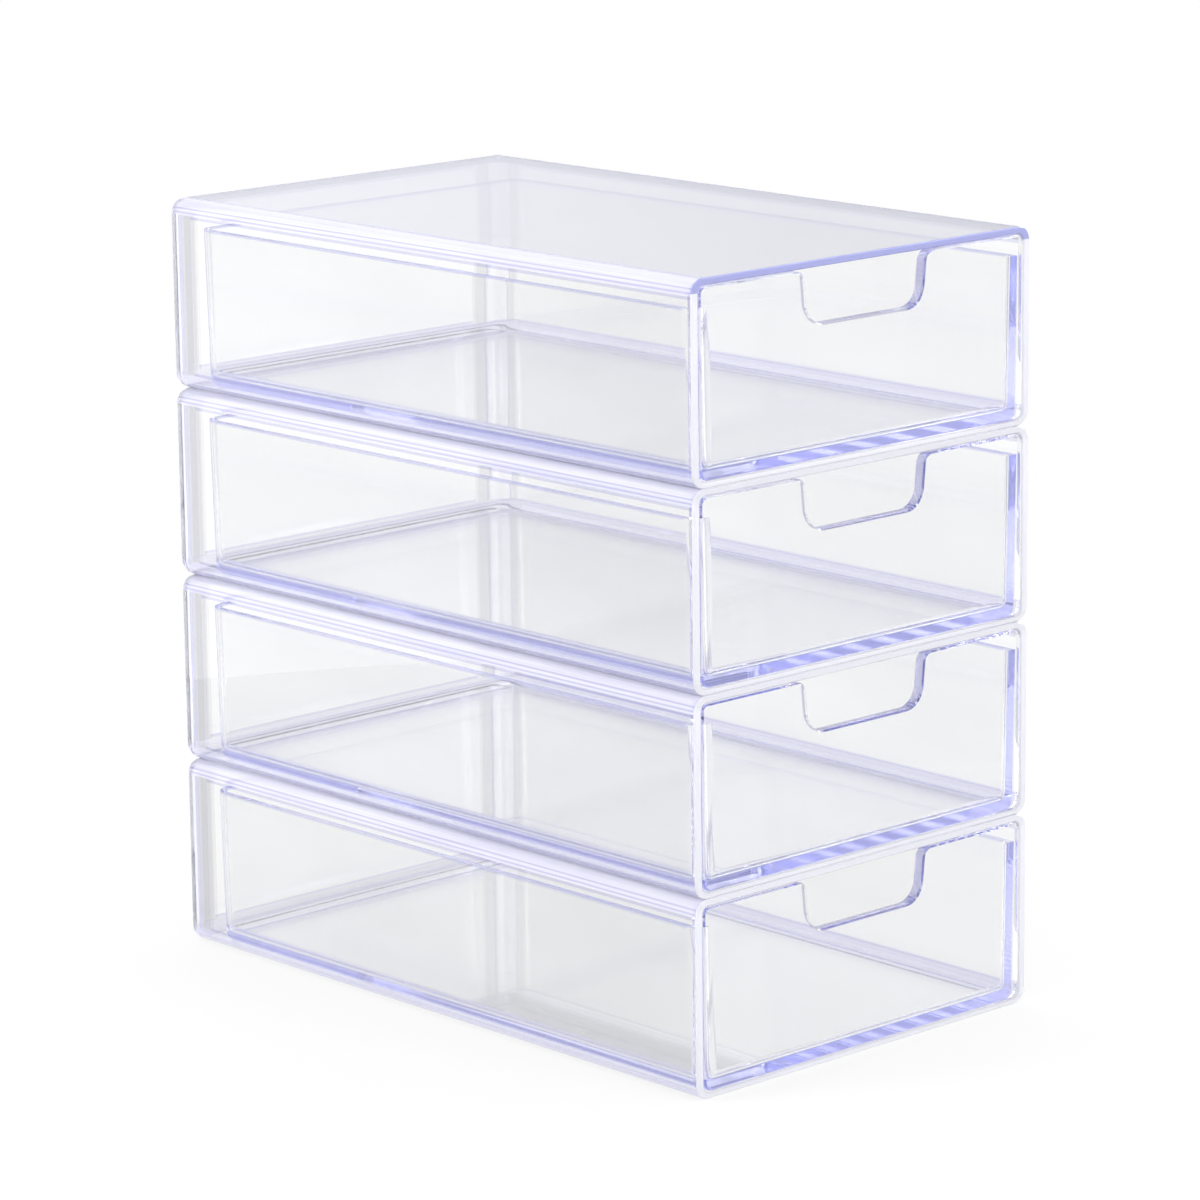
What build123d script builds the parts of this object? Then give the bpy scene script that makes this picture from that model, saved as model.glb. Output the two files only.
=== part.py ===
from build123d import *
import math
import os

# Stack of four equal clear drawer units for craft stamps, in millimetres.
# Each unit is a moulded open-fronted case with one pull-out drawer in it.
# Front is -Y, +Z is up, the origin is under the middle of the stack on the table plane.
# The cases stand loose on each other, counted from the lowest.

# Cases
unit_count = 4
case_width = 148.0
case_depth = 250.0
case_height = 63.5
side_wall = 3.0
top_wall = 2.3
floor_wall = 1.8
back_wall = 2.6
edge_radius = 5.0        # all outer edges but those of the open front
inner_radius = 2.6       # inner corners, seen round the mouth
rim_softening = 0.4      # bevelled arrises of the open front
foot_inset = 9.5         # from the outer faces to the recess under the floor
foot_recess = 0.6        # the case stands on the band round it
foot_recess_radius = 4.0
stack_gap = 0.1          # moulded faces are never quite flat, so cases barely touch

# Drawers
running_gap = 0.3        # between the underside of a drawer and the floor of its case
front_gap = 0.5          # beside and above the drawer front in the mouth of the case
front_thickness = 3.6
front_foot_radius = 3.4  # lower corners of the drawer front
front_softening = 0.5    # bevelled arrises of the drawer front
tub_gap = 0.9            # from the rim of the drawer to the side wall of the case
tub_wall = 2.2
tub_floor = 2.4
tub_height = 52.0        # underside to rim
tub_draft = 1.1          # degrees, walls lean out towards the rim
tub_corner_radius = 7.0  # upright back corners
tub_foot_radius = 2.8    # lower outer edges
tub_inner_radius = 3.0   # lower inner edges and the inner corners at the drawer front
back_clearance = 10.0    # behind the closed drawer

# Finger notch in the top edge of each drawer front
notch_width = 53.0       # across its straight sides, at the top edge
notch_depth = 17.0
notch_lean = 6.0         # degrees, sides close in towards the bottom
notch_lip_radius = 3.5
notch_bottom_radius = 7.0

case_front = -case_depth / 2
mouth_width = case_width - 2 * side_wall
mouth_height = case_height - top_wall - floor_wall
drawer_foot = floor_wall + running_gap
cavity_depth = case_depth - back_wall
tub_width = mouth_width - 2 * tub_gap
tub_length = cavity_depth - back_clearance


def edges_at_y(solid, y):
    """Edges that lie wholly in the plane Y = y."""
    return solid.edges().filter_by(lambda e: abs(e.bounding_box().min.Y - y) < 0.01
                                   and abs(e.bounding_box().max.Y - y) < 0.01)


def edges_at_z(solid, z):
    """Edges that lie wholly in the plane Z = z."""
    return solid.edges().filter_by(lambda e: abs(e.bounding_box().min.Z - z) < 0.01
                                   and abs(e.bounding_box().max.Z - z) < 0.01)


def deep_box(width, height, depth, radius):
    """Bar from the front plane backwards, round on every edge but those of its front."""
    bar = Pos(0, case_front + depth / 2, 0) * Box(width, depth, height)
    at_front = edges_at_y(bar, case_front)
    return fillet([edge for edge in bar.edges() if edge not in at_front], radius)


def make_case():
    """One case: top, floor, sides and back in one moulding, open at the front."""
    outer = Pos(0, 0, case_height / 2) * deep_box(
        case_width, case_height, case_depth, edge_radius)
    cavity = Pos(0, 0, floor_wall + mouth_height / 2) * deep_box(
        mouth_width, mouth_height, cavity_depth, inner_radius)
    recess = RectangleRounded(
        case_width - 2 * foot_inset, case_depth - 2 * foot_inset, foot_recess_radius)
    case = outer - cavity - extrude(recess, foot_recess)
    return chamfer(edges_at_y(case, case_front), rim_softening)


def tub_outline(width, length, corner):
    """Plan of a drawer tub, square at the front, rounded at the back corners."""
    plan = Pos(0, case_front + length / 2) * Rectangle(width, length)
    back = plan.vertices().group_by(Axis.Y)[-1]
    return fillet(back, corner)


def make_tub():
    """Drawer body: floor and walls that lean out a little towards the rim."""
    lean = rise(tub_height, tub_draft)
    foot = tub_outline(tub_width - 2 * lean, tub_length - lean, tub_corner_radius - lean)
    shell = Pos(0, 0, drawer_foot) * extrude(foot, tub_height, taper=-tub_draft)
    shell = fillet(edges_at_z(shell, drawer_foot), tub_foot_radius)
    inner_lean = rise(tub_height - tub_floor, tub_draft)
    inner_width = tub_width - 2 * tub_wall - 2 * inner_lean
    inner_corner = tub_corner_radius - tub_wall - inner_lean
    inner_foot = tub_outline(inner_width, tub_length - tub_wall - inner_lean, inner_corner)
    hollow = extrude(inner_foot, tub_height - tub_floor, taper=-tub_draft)
    hollow -= ahead_of(case_front + front_thickness)
    uprights = edges_at_y(hollow, case_front + front_thickness).filter_by(
        lambda e: e.bounding_box().size.Z > tub_height / 2)
    hollow = fillet(uprights + edges_at_z(hollow, 0), tub_inner_radius)
    shell -= Pos(0, 0, drawer_foot + tub_floor) * hollow
    return shell - ahead_of(case_front + front_thickness)


def ahead_of(y):
    """Block that holds all of a unit in front of the plane Y = y."""
    return Pos(0, y - case_depth / 2, 0) * Box(2 * case_width, case_depth, 4 * case_height)


def rise(run, angle):
    """How far a slope of so many degrees moves sideways over a run."""
    return run * math.tan(math.radians(angle))


def notch_profile(half_width, top):
    """Finger notch: lips rounded outwards, leaning sides, rounded bottom corners."""
    bottom = top - notch_depth
    half_bottom = half_width - rise(notch_depth, notch_lean)
    above = top + notch_lip_radius
    corners = Polyline((-half_width, above), (-half_width, top), (-half_bottom, bottom),
                       (half_bottom, bottom), (half_width, top), (half_width, above), close=True)
    notch = make_face(corners)
    return fillet(notch.vertices().group_by(Axis.Y)[0], notch_bottom_radius)


def make_front():
    """Drawer front that fills the mouth, with the finger notch in its top edge."""
    width = mouth_width - 2 * front_gap
    height = mouth_height - running_gap - front_gap
    top = drawer_foot + height
    panel = Pos(0, drawer_foot + height / 2) * Rectangle(width, height)
    levels = panel.vertices().group_by(Axis.Y)
    panel = fillet(levels[0], front_foot_radius)
    panel = fillet(panel.vertices().group_by(Axis.Y)[-1], inner_radius - front_gap)
    panel -= notch_profile(notch_width / 2, top)
    lips = panel.vertices().filter_by(lambda v: abs(v.Y - top) < 0.01
                                      and abs(abs(v.X) - notch_width / 2) < 0.01)
    panel = fillet(lips, notch_lip_radius)
    plate = Pos(0, case_front + front_thickness, 0) * extrude(Plane.XZ * panel, front_thickness)
    return chamfer(edges_at_y(plate, case_front), front_softening)


def make_drawer():
    """Drawer front and tub in one moulding."""
    return make_tub() + make_front()


os.makedirs("parts", exist_ok=True)
case = make_case()
drawer = make_drawer()
for index in range(unit_count):
    lift = index * (case_height + stack_gap)
    place = Pos(0, 0, lift)
    export_step(place * case, f"parts/case_{index + 1}.step")
    export_step(place * drawer, f"parts/drawer_{index + 1}.step")
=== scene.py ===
import math

import bpy
from mathutils import Matrix, Vector

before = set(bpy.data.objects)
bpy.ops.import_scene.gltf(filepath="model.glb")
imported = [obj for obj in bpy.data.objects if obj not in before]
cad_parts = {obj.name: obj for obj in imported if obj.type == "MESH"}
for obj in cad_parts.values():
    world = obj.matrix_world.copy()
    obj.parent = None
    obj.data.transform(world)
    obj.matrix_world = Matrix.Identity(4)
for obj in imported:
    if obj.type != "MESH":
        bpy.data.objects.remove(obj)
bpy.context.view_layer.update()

# The four cases: each is one moulding of clear styrene, a flat top, floor, sides and back with an
# open front. They stand loose on each other and take their drawers between floor and ceiling. The
# styrene is clear all over; the light its thick rounded edges gather is painted on them as a
# lilac, partly cloudy skin with painted dark lines and streaks, beside the clear panels.
unit_count = 4
case_half_width = 0.074
case_half_depth = 0.125
case_height = 0.0635
case_pitch = 0.0636          # from one case to the next
case_foot_nudge = 0.00002    # keeps the underside of a case from counting as the one below
case_skin = 0.0016           # points nearer the outer faces than this are on the outside
case_back_wall = 0.0030
case_edge_width = 0.0050     # rounded edge, measured from its middle along the face
case_upright_width = 0.0065  # the same at the upright back corners, which are thicker
case_edge_softness = 0.0004
case_line_softness = 0.0002
case_pair_lines = ((0.0019, 0.0026), (0.0037, 0.0044))   # from the middle of an edge
case_line_band = (0.0001, 0.0011)        # past the end of an edge
case_shoulder_band = (0.0006, 0.0080)    # past an upright corner
case_rim_band = (0.0006, 0.0003)         # behind the front plane: clear from, full up to
top_sheet_level = 0.2500                 # above this is the top of the highest case
# Painted shade: the side panel tints are greyer than the back and flat tints, with a random haze
# between the two.
case_side_shade_tint = (0.928, 0.93, 0.93, 1)
case_side_haze_shade_tint = (0.953, 0.955, 0.955, 1)
case_back_tint = (0.988, 0.99, 0.99, 1)
case_flat_tint = (0.988, 0.99, 0.992, 1)
# Painted shade: the top sheet of the highest case is greyer, and its front rim deep lilac.
top_sheet_shade_tint = (0.76, 0.77, 0.81, 1)
# Painted light: the edge tints colour the clear rounded edges lilac, upper and lower a little
# apart, with painted streaks.
case_upper_edge_light_tint = (0.87, 0.87, 1.0, 1)
case_lower_edge_light_tint = (0.85, 0.85, 1.0, 1)
case_streak_light_tint = (0.76, 0.75, 0.97, 1)
# Painted shade: dark lines along the rounded edges.
case_line_shade_tint = (0.55, 0.55, 0.78, 1)
# Painted highlight on the upright back corners, with painted shade on their shoulders.
case_upright_highlight_tint = (0.97, 0.97, 1.0, 1)
case_shoulder_shade_tint = (0.78, 0.78, 0.80, 1)
# Painted light: the front rims are pale lilac and partly cloudy, for the light that runs out of
# their cut faces.
case_rim_light_tint = (0.94, 0.94, 1.0, 1)
top_rim_shade_tint = (0.44, 0.46, 0.86, 1)
# Painted light: shares of cloudiness that make the clear edges and rim catch light as a diffuse
# skin.
case_lower_edge_painted_light = 0.16        # cloudiness of the lower edges
case_upper_edge_painted_light = 0.31       # what the upper edges have more
case_upright_light_cut = 0.8  # share of it that the upright corners lack
case_rim_painted_light = 0.75
painted_light_roughness = 0.3
case_depth_tint = (0.20, 0.24, 0.95, 1)
case_depth_strength = 0.5
styrene_ior = 1.56

bpy.ops.object.select_all(action='DESELECT')


def calc(nodes, links, operation, first, second=None):
    """Math node on sockets or plain numbers; gives its output socket."""
    node = nodes.new('ShaderNodeMath')
    node.operation = operation
    for slot, value in enumerate((first, second)):
        if value is None:
            continue
        if isinstance(value, (int, float)):
            node.inputs[slot].default_value = value
        else:
            links.new(value, node.inputs[slot])
    return node.outputs['Value']


def fade(nodes, links, value, start, end):
    """Smooth step of a socket: 0 up to start, 1 from end on; start may be the larger."""
    node = nodes.new('ShaderNodeMapRange')
    node.interpolation_type = 'SMOOTHSTEP'
    links.new(value, node.inputs['Value'])
    node.inputs['From Min'].default_value = start
    node.inputs['From Max'].default_value = end
    return node.outputs['Result']


def stripe(nodes, links, value, low, high):
    """1 between two limits of a socket, softly 0 outside them."""
    soft = case_line_softness
    return calc(nodes, links, 'MULTIPLY', fade(nodes, links, value, low - soft, low + soft),
                fade(nodes, links, value, high + soft, high - soft))


def tint(nodes, links, share, base, over):
    """Colour mix of two colours or sockets."""
    node = nodes.new('ShaderNodeMix')
    node.data_type = 'RGBA'
    links.new(share, node.inputs['Factor'])
    for slot, value in (('A', base), ('B', over)):
        if isinstance(value, tuple):
            node.inputs[slot].default_value = value
        else:
            links.new(value, node.inputs[slot])
    return node.outputs['Result']


def clear_styrene(name, depth_colour, depth_strength, ior):
    """Polished clear styrene; gives its material, nodes, links, skin and object coordinates."""
    material = bpy.data.materials.new(name)
    material.use_nodes = True
    nodes = material.node_tree.nodes
    links = material.node_tree.links
    nodes.clear()
    out = nodes.new('ShaderNodeOutputMaterial')
    skin = nodes.new('ShaderNodeBsdfPrincipled')
    skin.inputs['IOR'].default_value = ior
    body = nodes.new('ShaderNodeVolumeAbsorption')
    body.inputs['Color'].default_value = depth_colour
    body.inputs['Density'].default_value = depth_strength
    links.new(skin.outputs['BSDF'], out.inputs['Surface'])
    links.new(body.outputs['Volume'], out.inputs['Volume'])
    place = nodes.new('ShaderNodeTexCoord')
    split = nodes.new('ShaderNodeSeparateXYZ')
    links.new(place.outputs['Object'], split.inputs['Vector'])
    return material, nodes, links, skin, split.outputs


def flow_haze(nodes, links, axes, first, second):
    """Faint cloudy change of tint over a panel, drawn out along the way the plastic flowed."""
    vector = nodes.new('ShaderNodeCombineXYZ')
    for axis, stretch in (('X', 22.0), ('Y', 9.0), ('Z', 30.0)):
        links.new(calc(nodes, links, 'MULTIPLY', axes[axis], stretch), vector.inputs[axis])
    noise = nodes.new('ShaderNodeTexNoise')
    noise.inputs['Scale'].default_value = 1.0
    noise.inputs['Detail'].default_value = 3.0
    links.new(vector.outputs['Vector'], noise.inputs['Vector'])
    return tint(nodes, links, fade(nodes, links, noise.outputs['Fac'], 0.3, 0.7), first, second)


def streaks(nodes, links, across, axes):
    """Drawn-out noise: fine across an edge, slow along it."""
    fineness, slowness = 1500.0, 14.0
    along = calc(nodes, links, 'ADD', calc(nodes, links, 'ADD', axes['X'], axes['Y']), axes['Z'])
    vector = nodes.new('ShaderNodeCombineXYZ')
    links.new(calc(nodes, links, 'MULTIPLY', across, fineness), vector.inputs['X'])
    links.new(calc(nodes, links, 'MULTIPLY', along, slowness), vector.inputs['Y'])
    noise = nodes.new('ShaderNodeTexNoise')
    noise.inputs['Scale'].default_value = 1.0
    noise.inputs['Detail'].default_value = 2.0
    links.new(vector.outputs['Vector'], noise.inputs['Vector'])
    return fade(nodes, links, noise.outputs['Fac'], 0.42, 0.66)


case_clear, nodes, links, skin, axes = clear_styrene(
    'case_clear', case_depth_tint, case_depth_strength, styrene_ior)

# Distances from the outer faces. Each case is the same at its own height in the stack.
aside = calc(nodes, links, 'ABSOLUTE', axes['X'])
from_side = calc(nodes, links, 'SUBTRACT', case_half_width, aside)
from_back = calc(nodes, links, 'SUBTRACT', case_half_depth, axes['Y'])
from_front = calc(nodes, links, 'ADD', axes['Y'], case_half_depth)
above_table = calc(nodes, links, 'ADD', axes['Z'], case_foot_nudge)
height = calc(nodes, links, 'MODULO', above_table, case_pitch)
from_top = calc(nodes, links, 'SUBTRACT', case_height, height)
from_ends = calc(nodes, links, 'MINIMUM', height, from_top)
nearer = calc(nodes, links, 'MINIMUM', from_side, from_back)
farther = calc(nodes, links, 'MAXIMUM', from_side, from_back)
nearest = calc(nodes, links, 'MINIMUM', nearer, from_ends)
second = calc(nodes, links, 'MAXIMUM', nearer,
              calc(nodes, links, 'MINIMUM', farther, from_ends))
across = calc(nodes, links, 'SUBTRACT', second, nearest)
outside = calc(nodes, links, 'LESS_THAN', nearest, case_skin)
upper = calc(nodes, links, 'GREATER_THAN', height, case_height / 2)
level = calc(nodes, links, 'LESS_THAN', from_ends, nearer)
upright = calc(nodes, links, 'MULTIPLY',
               calc(nodes, links, 'GREATER_THAN', from_ends, case_edge_width),
               calc(nodes, links, 'LESS_THAN', farther, 2 * case_upright_width))

# Rounded edges: how far a point lies past the end of its edge, level or upright.
inward_level = calc(nodes, links, 'SUBTRACT', across, case_edge_width)
inward_upright = calc(nodes, links, 'SUBTRACT', farther, case_upright_width)
inward_change = calc(nodes, links, 'SUBTRACT', inward_upright, inward_level)
inward = calc(nodes, links, 'ADD', inward_level,
              calc(nodes, links, 'MULTIPLY', upright, inward_change))
edge = calc(nodes, links, 'MULTIPLY', outside,
            fade(nodes, links, inward, case_edge_softness, -case_edge_softness))

# Painted shade: two dark lines along each upper edge, on its side half, and one where every edge
# ends, standing in for the light that the rounded edges bend away.
pair = calc(nodes, links, 'ADD', stripe(nodes, links, across, *case_pair_lines[0]),
            stripe(nodes, links, across, *case_pair_lines[1]))
side_half = calc(nodes, links, 'SUBTRACT', 1.0,
                 calc(nodes, links, 'MAXIMUM', level, upright))
pair = calc(nodes, links, 'MULTIPLY', calc(nodes, links, 'MULTIPLY', pair, upper),
            calc(nodes, links, 'MULTIPLY', outside, side_half))
line = calc(nodes, links, 'MULTIPLY', outside, stripe(nodes, links, inward, *case_line_band))
rim = fade(nodes, links, from_front, *case_rim_band)

# Panels: sides greyed with painted shade and a faint random haze, a clearer back, clear top and
# floor, and painted shade that makes the sheet on top of the stack greyer.
top_sheet = calc(nodes, links, 'GREATER_THAN', axes['Z'], top_sheet_level)
flat = tint(nodes, links, top_sheet, case_flat_tint, top_sheet_shade_tint)
back = calc(nodes, links, 'LESS_THAN', from_back, case_back_wall)
side_shade_and_haze = flow_haze(nodes, links, axes, case_side_shade_tint, case_side_haze_shade_tint)
panel = tint(nodes, links, level, tint(nodes, links, back, side_shade_and_haze, case_back_tint), flat)

# The upright back corners are painted clear and bright as a highlight, with painted shade on a
# shoulder on both sides.
corner = fade(nodes, links, farther, case_upright_width + case_edge_softness,
              case_upright_width - case_edge_softness)
shoulder = stripe(nodes, links, farther, case_upright_width + case_shoulder_band[0],
                  case_upright_width + case_shoulder_band[1])
shoulder = calc(nodes, links, 'MULTIPLY', shoulder, upright)
shaded = tint(nodes, links, shoulder, panel, case_shoulder_shade_tint)
cornered = tint(nodes, links, corner, shaded, case_upright_highlight_tint)
lined = tint(nodes, links, line, cornered, case_line_shade_tint)

# Painted light on the rounded edges: lilac, a little apart on upper and lower edges, with painted
# streaks.
pale = tint(nodes, links, upper, case_lower_edge_light_tint, case_upper_edge_light_tint)
streaked_edge_light = tint(nodes, links, streaks(nodes, links, across, axes), pale, case_streak_light_tint)
edge_light_colour = tint(nodes, links, upright, streaked_edge_light, case_upright_highlight_tint)
edged = tint(nodes, links, pair, tint(nodes, links, edge, lined, edge_light_colour), case_line_shade_tint)
# Painted light on the front rims, and painted shade on the rim of the top sheet.
rim_light_colour = tint(nodes, links, top_sheet, case_rim_light_tint, top_rim_shade_tint)
links.new(tint(nodes, links, rim, edged, rim_light_colour), skin.inputs['Base Color'])

# Painted light: edges and rim are made partly cloudy, so that they scatter a part of the light
# instead of letting it through and look lit as the real clear edges do where they gather light.
edge_painted_light = calc(nodes, links, 'ADD', case_lower_edge_painted_light,
                 calc(nodes, links, 'MULTIPLY', upper, case_upper_edge_painted_light))
upright_share = calc(nodes, links, 'SUBTRACT', 1.0,
                     calc(nodes, links, 'MULTIPLY', upright, case_upright_light_cut))
edge_painted_light = calc(nodes, links, 'MULTIPLY', edge,
                 calc(nodes, links, 'MULTIPLY', edge_painted_light, upright_share))
painted_light_share = calc(nodes, links, 'MAXIMUM', edge_painted_light,
             calc(nodes, links, 'MULTIPLY', rim, case_rim_painted_light))
links.new(calc(nodes, links, 'SUBTRACT', 1.0, painted_light_share), skin.inputs['Transmission Weight'])
links.new(calc(nodes, links, 'MULTIPLY', painted_light_share, painted_light_roughness), skin.inputs['Roughness'])

for number in range(1, unit_count + 1):
    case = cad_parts[f'case_{number}']
    case.data.materials.clear()
    case.data.materials.append(case_clear)

# The four drawers: one clear moulding each, a front that fills the mouth of the case, with a
# finger notch in its top edge, and a lower tub behind it whose walls lean out. The rounded foot
# and the rim are painted grey-lilac light and shade, the upright back corners a bright highlight.
tub_half_width = 0.0701      # at the rim
tub_back = 0.1124            # at the rim
tub_rim = 0.0541
tub_lean = 0.0192            # metres out for each metre up
tub_underside = 0.0021
tub_back_wall = 0.0026
tub_floor_top = 0.0025       # above the underside
front_face = -0.1249
front_rear = -0.1213
front_side_end = -0.1215     # rear end of the side faces of the front
front_post_end = -0.1183     # rear end of the bright upright behind the front
tub_foot_band = (0.0056, 0.0050)         # clear from, full up to, seen from the outer corner
tub_line_start = (0.0048, 0.0051)
tub_line_end = (0.0059, 0.0055)
tub_rim_band = (0.0532, 0.0536)
tub_corner_band = (0.0075, 0.0060)
notch_top = 0.0607           # upper edge of the drawer front
notch_half_width = 0.0265    # at that edge
notch_depth = 0.0170
notch_lean = 0.105           # metres in for each metre down
notch_corner = 0.0070
notch_line_band = (0.0007, 0.0004)       # half the width of the line round the notch
notch_lowest = 0.0425        # side faces above this and nearer the middle are the notch's
notch_widest = 0.0310
# Painted shade: the side panel tints are greyer than the end and floor tints, with a random haze
# between the two.
drawer_side_shade_tint = (0.928, 0.93, 0.93, 1)
drawer_side_haze_shade_tint = (0.953, 0.955, 0.955, 1)
drawer_ends_tint = (0.993, 0.995, 0.995, 1)
drawer_floor_tint = (0.998, 1.0, 0.995, 1)
# Painted light and shade: grey-lilac light on the rounded foot, a dark line along it, darker
# lilac on the rim.
drawer_foot_light_tint = (0.93, 0.93, 0.99, 1)
drawer_line_shade_tint = (0.78, 0.78, 0.90, 1)
drawer_rim_shade_tint = (0.66, 0.66, 0.88, 1)
# Painted shade: lilac side faces of the front, darker in the notch, and a dark line on the
# notch's arris.
drawer_side_face_shade_tint = (0.82, 0.82, 0.98, 1)
# Painted highlight: bright back corners, and uprights behind the front.
drawer_highlight_tint = (1, 1, 1, 1)
notch_shade_tint = (0.42, 0.42, 0.66, 1)
notch_line_shade_tint = (0.40, 0.39, 0.56, 1)
drawer_depth_tint = (0.20, 0.24, 0.95, 1)
drawer_depth_strength = 1.6

drawer_clear, nodes, links, skin, axes = clear_styrene(
    'drawer_clear', drawer_depth_tint, drawer_depth_strength, styrene_ior)

# Distances from the leaning outer faces of the tub.
above_table = calc(nodes, links, 'ADD', axes['Z'], case_foot_nudge)
height = calc(nodes, links, 'MODULO', above_table, case_pitch)
aside = calc(nodes, links, 'ABSOLUTE', axes['X'])
below_rim = calc(nodes, links, 'SUBTRACT', tub_rim, height)
lean = calc(nodes, links, 'MULTIPLY', below_rim, tub_lean)
reach_side = calc(nodes, links, 'SUBTRACT', tub_half_width, lean)
reach_back = calc(nodes, links, 'SUBTRACT', tub_back, lean)
from_side = calc(nodes, links, 'SUBTRACT', reach_side, aside)
from_back = calc(nodes, links, 'SUBTRACT', reach_back, axes['Y'])
from_foot = calc(nodes, links, 'SUBTRACT', height, tub_underside)
nearer = calc(nodes, links, 'MINIMUM', from_side, from_back)
farther = calc(nodes, links, 'MAXIMUM', from_side, from_back)
behind_front = calc(nodes, links, 'GREATER_THAN', axes['Y'], front_rear)
in_front = calc(nodes, links, 'SUBTRACT', 1.0, behind_front)

# Panels: sides greyed with painted shade and a faint random haze, a clearer back and front, a
# clear floor and a painted highlight on the back corners.
ends = calc(nodes, links, 'MAXIMUM', in_front,
            calc(nodes, links, 'LESS_THAN', from_back, tub_back_wall))
side_shade_and_haze = flow_haze(nodes, links, axes, drawer_side_shade_tint, drawer_side_haze_shade_tint)
sides = tint(nodes, links, ends, side_shade_and_haze, drawer_ends_tint)
flat = calc(nodes, links, 'LESS_THAN', from_foot, tub_floor_top)
walls = tint(nodes, links, flat, sides, drawer_floor_tint)
corner = calc(nodes, links, 'MULTIPLY', behind_front,
              fade(nodes, links, farther, *tub_corner_band))
panel = tint(nodes, links, corner, walls, drawer_highlight_tint)

# Rounded foot in painted grey-lilac light, a painted dark line along it, and painted shade on the
# rim.
foot_reach = calc(nodes, links, 'MAXIMUM', nearer, from_foot)
foot = calc(nodes, links, 'MULTIPLY', behind_front,
            fade(nodes, links, foot_reach, *tub_foot_band))
foot_line = calc(nodes, links, 'MULTIPLY', fade(nodes, links, foot_reach, *tub_line_start),
                 fade(nodes, links, foot_reach, *tub_line_end))
foot_line = calc(nodes, links, 'MULTIPLY', behind_front, foot_line)
rim_band = calc(nodes, links, 'MULTIPLY', behind_front,
                fade(nodes, links, height, *tub_rim_band))
footed = tint(nodes, links, foot, panel, drawer_foot_light_tint)
lined = tint(nodes, links, foot_line, footed, drawer_line_shade_tint)
rimmed = tint(nodes, links, rim_band, lined, drawer_rim_shade_tint)

# Side faces of the front in painted lilac shade, darker in the notch.
side = calc(nodes, links, 'MULTIPLY',
            calc(nodes, links, 'GREATER_THAN', axes['Y'], front_face),
            calc(nodes, links, 'LESS_THAN', axes['Y'], front_side_end))
notch = calc(nodes, links, 'MULTIPLY',
             calc(nodes, links, 'GREATER_THAN', height, notch_lowest),
             calc(nodes, links, 'LESS_THAN', aside, notch_widest))
side_colour = tint(nodes, links, notch, drawer_side_face_shade_tint, notch_shade_tint)
sided = tint(nodes, links, side, rimmed, side_colour)

# The arris of the notch gets a thin painted dark line: how far a point is from its outline.
down = calc(nodes, links, 'SUBTRACT', notch_top, height)
out = calc(nodes, links, 'ADD', aside, calc(nodes, links, 'MULTIPLY', down, notch_lean))
past_side = calc(nodes, links, 'SUBTRACT', out, notch_half_width - notch_corner)
past_foot = calc(nodes, links, 'SUBTRACT', down, notch_depth - notch_corner)
squares = [calc(nodes, links, 'POWER', calc(nodes, links, 'MAXIMUM', past, 0.0), 2.0)
           for past in (past_side, past_foot)]
reach = calc(nodes, links, 'SQRT', calc(nodes, links, 'ADD', *squares))
off_line = calc(nodes, links, 'ABSOLUTE',
                calc(nodes, links, 'SUBTRACT', reach, notch_corner))
arris = calc(nodes, links, 'MULTIPLY', in_front,
             fade(nodes, links, off_line, *notch_line_band))
notched = tint(nodes, links, arris, sided, notch_line_shade_tint)

# Painted highlight: bright uprights where the tub meets the front.
near_front = calc(nodes, links, 'LESS_THAN', axes['Y'], front_post_end)
post = calc(nodes, links, 'MULTIPLY', behind_front,
            fade(nodes, links, from_side, *tub_foot_band))
post = calc(nodes, links, 'MULTIPLY', near_front, post)
links.new(tint(nodes, links, post, notched, drawer_highlight_tint), skin.inputs['Base Color'])
skin.inputs['Transmission Weight'].default_value = 1.0
skin.inputs['Roughness'].default_value = 0.0

for number in range(1, unit_count + 1):
    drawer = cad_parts[f'drawer_{number}']
    drawer.data.materials.clear()
    drawer.data.materials.append(drawer_clear)

# Studio floor: a round pale board, larger than the picture shows. It mostly glows by itself, so
# that it is as white as the surround, and the rest takes the soft shadow of the stack.
floor_radius = 0.45
floor_drop = 0.0002          # below the table plane, so that the two do not coincide
floor_tint = (0.9, 0.9, 0.9, 1)
floor_glow = 0.8             # share of its own light

bpy.ops.mesh.primitive_circle_add(
    vertices=96, radius=floor_radius, fill_type='NGON', location=(0, 0, -floor_drop))
floor = bpy.context.active_object
floor.name = 'studio_floor'
floor_paint = bpy.data.materials.new('studio_floor')
floor_paint.use_nodes = True
paint_nodes = floor_paint.node_tree.nodes
paint_links = floor_paint.node_tree.links
paint_nodes.clear()
paint_out = paint_nodes.new('ShaderNodeOutputMaterial')
paint = paint_nodes.new('ShaderNodeBsdfDiffuse')
paint.inputs['Color'].default_value = floor_tint
paint_glow = paint_nodes.new('ShaderNodeEmission')
paint_glow.inputs['Color'].default_value = (1, 1, 1, 1)
paint_glow.inputs['Strength'].default_value = 1.0
paint_mix = paint_nodes.new('ShaderNodeMixShader')
paint_mix.inputs['Fac'].default_value = floor_glow
paint_links.new(paint.outputs['BSDF'], paint_mix.inputs[1])
paint_links.new(paint_glow.outputs['Emission'], paint_mix.inputs[2])
paint_links.new(paint_mix.outputs['Shader'], paint_out.inputs['Surface'])
floor.data.materials.append(floor_paint)

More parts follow.
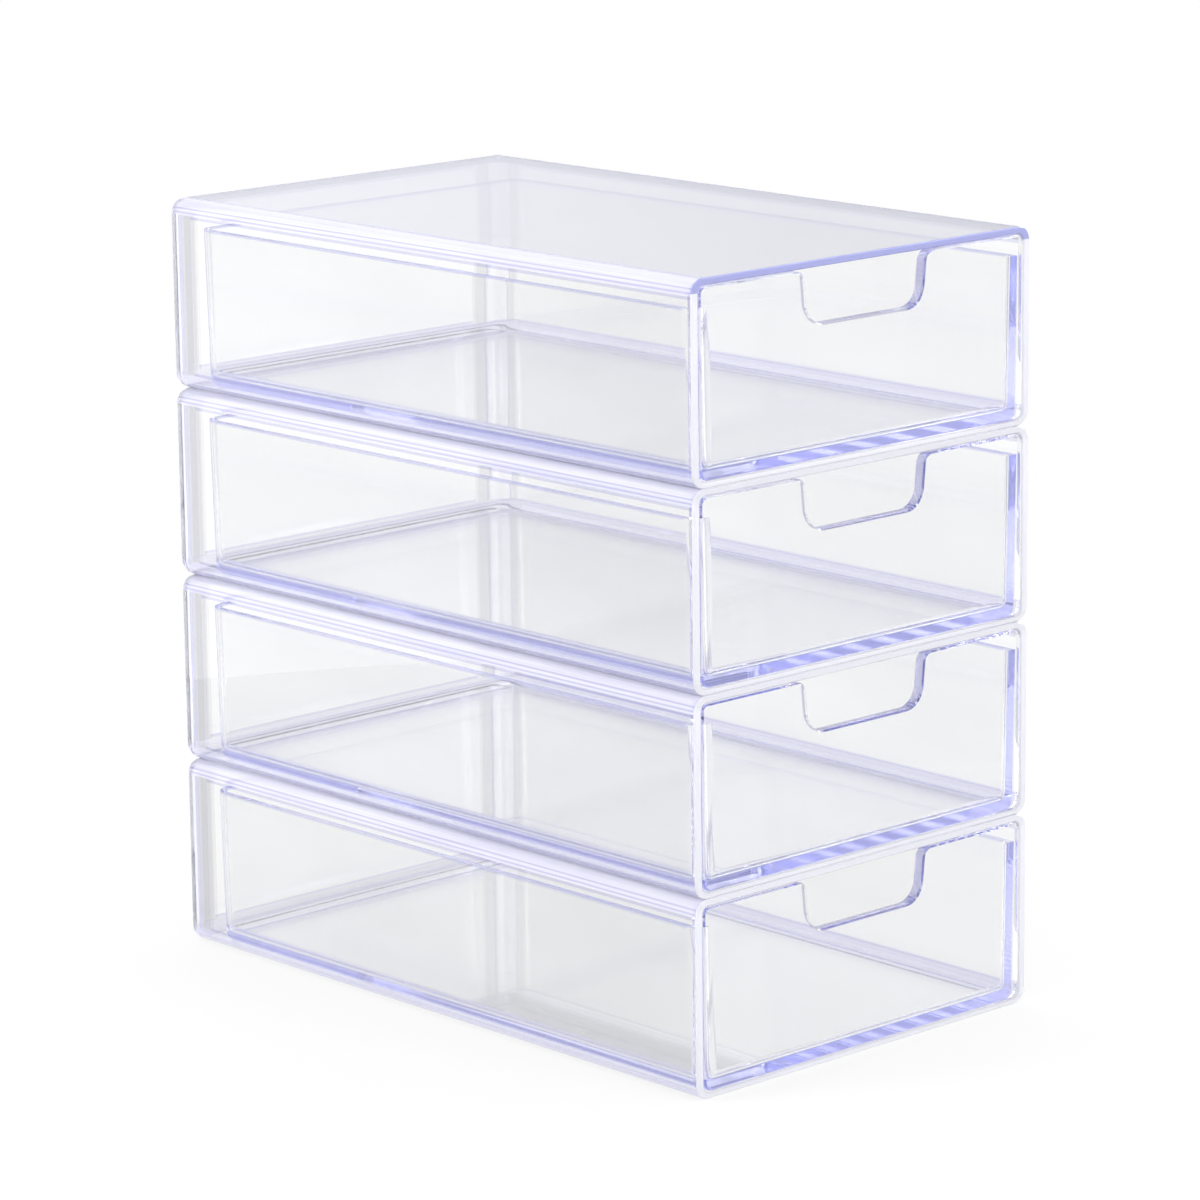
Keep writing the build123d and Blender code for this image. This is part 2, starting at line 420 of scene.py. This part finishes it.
# Surround: paper walls in a ring of greys, which the clear edges bend and mirror, with a paler
# ceiling. Seen straight, the surround is plain white.
# Tones by compass heading, as shares of the turn from -X through -Y, +X and +Y back to -X.
wall_start = 1.1
wall_tones = (
    (0.08, 1.0), (0.131, 0.9), (0.18, 0.5), (0.22, 1.15), (0.28, 1.15), (0.32, 0.75),
    (0.345, 0.97), (0.395, 0.97), (0.44, 0.5), (0.47, 1.15), (0.52, 1.15), (0.55, 0.5),
    (0.59, 1.05), (0.625, 1.06), (0.645, 1.18), (0.67, 1.16), (0.70, 0.85), (0.73, 1.2),
    (0.79, 1.15), (0.83, 1.1), (0.90, 1.05), (0.94, 0.6), (1.0, 1.1))
horizon_tone = (1, 1, 1, 1)
low_sky = (0.10, (0.82, 0.825, 0.87, 1))     # height of the view line, tone there
high_sky = (0.6, (1.1, 1.1, 1.1, 1))

world = bpy.data.worlds.new('studio')
world.use_nodes = True
sky_nodes = world.node_tree.nodes
sky_links = world.node_tree.links
sky_nodes.clear()
sky_out = sky_nodes.new('ShaderNodeOutputWorld')
sky = sky_nodes.new('ShaderNodeBackground')
sky_links.new(sky.outputs['Background'], sky_out.inputs['Surface'])
heading = sky_nodes.new('ShaderNodeTexCoord')
parts = sky_nodes.new('ShaderNodeSeparateXYZ')
sky_links.new(heading.outputs['Generated'], parts.inputs['Vector'])
compass = sky_nodes.new('ShaderNodeMath')
compass.operation = 'ARCTAN2'
sky_links.new(parts.outputs['Y'], compass.inputs[0])
sky_links.new(parts.outputs['X'], compass.inputs[1])
turn = sky_nodes.new('ShaderNodeMapRange')
turn.inputs['From Min'].default_value = -math.pi
turn.inputs['From Max'].default_value = math.pi
sky_links.new(compass.outputs['Value'], turn.inputs['Value'])
wall = sky_nodes.new('ShaderNodeValToRGB')
wall.color_ramp.elements.remove(wall.color_ramp.elements[-1])
wall.color_ramp.elements[0].position = 0.0
wall.color_ramp.elements[0].color = (wall_start, wall_start, wall_start, 1)
for share, tone in wall_tones:
    wall.color_ramp.elements.new(share).color = (tone, tone, tone, 1)
sky_links.new(turn.outputs['Result'], wall.inputs['Fac'])
above = sky_nodes.new('ShaderNodeValToRGB')
above.color_ramp.elements[0].position = 0.0
above.color_ramp.elements[0].color = horizon_tone
above.color_ramp.elements[1].position, above.color_ramp.elements[1].color = low_sky
above.color_ramp.elements.new(high_sky[0]).color = high_sky[1]
sky_links.new(parts.outputs['Z'], above.inputs['Fac'])
mixed = sky_nodes.new('ShaderNodeMix')
mixed.data_type = 'RGBA'
mixed.blend_type = 'MULTIPLY'
mixed.inputs['Factor'].default_value = 1.0
sky_links.new(wall.outputs['Color'], mixed.inputs['A'])
sky_links.new(above.outputs['Color'], mixed.inputs['B'])
seen = sky_nodes.new('ShaderNodeLightPath')
plain = sky_nodes.new('ShaderNodeMix')
plain.data_type = 'RGBA'
plain.inputs['B'].default_value = (1, 1, 1, 1)
sky_links.new(seen.outputs['Is Camera Ray'], plain.inputs['Factor'])
sky_links.new(mixed.outputs['Result'], plain.inputs['A'])
sky_links.new(plain.outputs['Result'], sky.inputs['Color'])
bpy.context.scene.world = world

# Soft lamps: three upright softboxes at the left, the right and the front, all turned to the
# middle of the stack.
stack_middle = Vector((0, 0, 0.12))
for name, spot, width, height, power in (
        ('left_softbox', (-1.2, 0.5, 0.9), 0.5, 1.0, 9.0),
        ('right_softbox', (1.3, -0.1, 0.8), 0.3, 1.0, 7.0),
        ('front_softbox', (0.2, -1.5, 0.9), 0.3, 0.9, 5.0)):
    lamp_data = bpy.data.lights.new(name, 'AREA')
    lamp_data.shape = 'RECTANGLE'
    lamp_data.size = width
    lamp_data.size_y = height
    lamp_data.energy = power
    lamp = bpy.data.objects.new(name, lamp_data)
    bpy.context.scene.collection.objects.link(lamp)
    lamp.location = spot
    toward = stack_middle - Vector(spot)
    lamp.rotation_euler = toward.to_track_quat('-Z', 'Y').to_euler()

# Camera at the photograph's viewpoint: near the front left corner, a little above. The place,
# the turn and the lens were worked out from the corners of the stack.
camera_place = Vector((-1.1080, -1.2008, 0.4955))
camera_right = Vector((0.73198, -0.68123, -0.01162))
camera_up = Vector((0.15867, 0.15386, 0.97527))
camera_back = camera_right.cross(camera_up)
camera_lens = 153.45         # millimetres on a sensor 36 wide
light_bounces = 200          # light runs far along the inside of the walls

camera_data = bpy.data.cameras.new('photo_view')
camera_data.sensor_width = 36
camera_data.lens = camera_lens
camera = bpy.data.objects.new('photo_view', camera_data)
bpy.context.scene.collection.objects.link(camera)
camera.matrix_world = Matrix.Translation(camera_place) @ Matrix(
    (camera_right, camera_up, camera_back)).transposed().to_4x4()
bpy.context.scene.camera = camera
bpy.context.scene.view_settings.view_transform = 'Standard'
bpy.context.scene.cycles.max_bounces = light_bounces
bpy.context.scene.cycles.transmission_bounces = light_bounces
bpy.context.scene.cycles.glossy_bounces = light_bounces
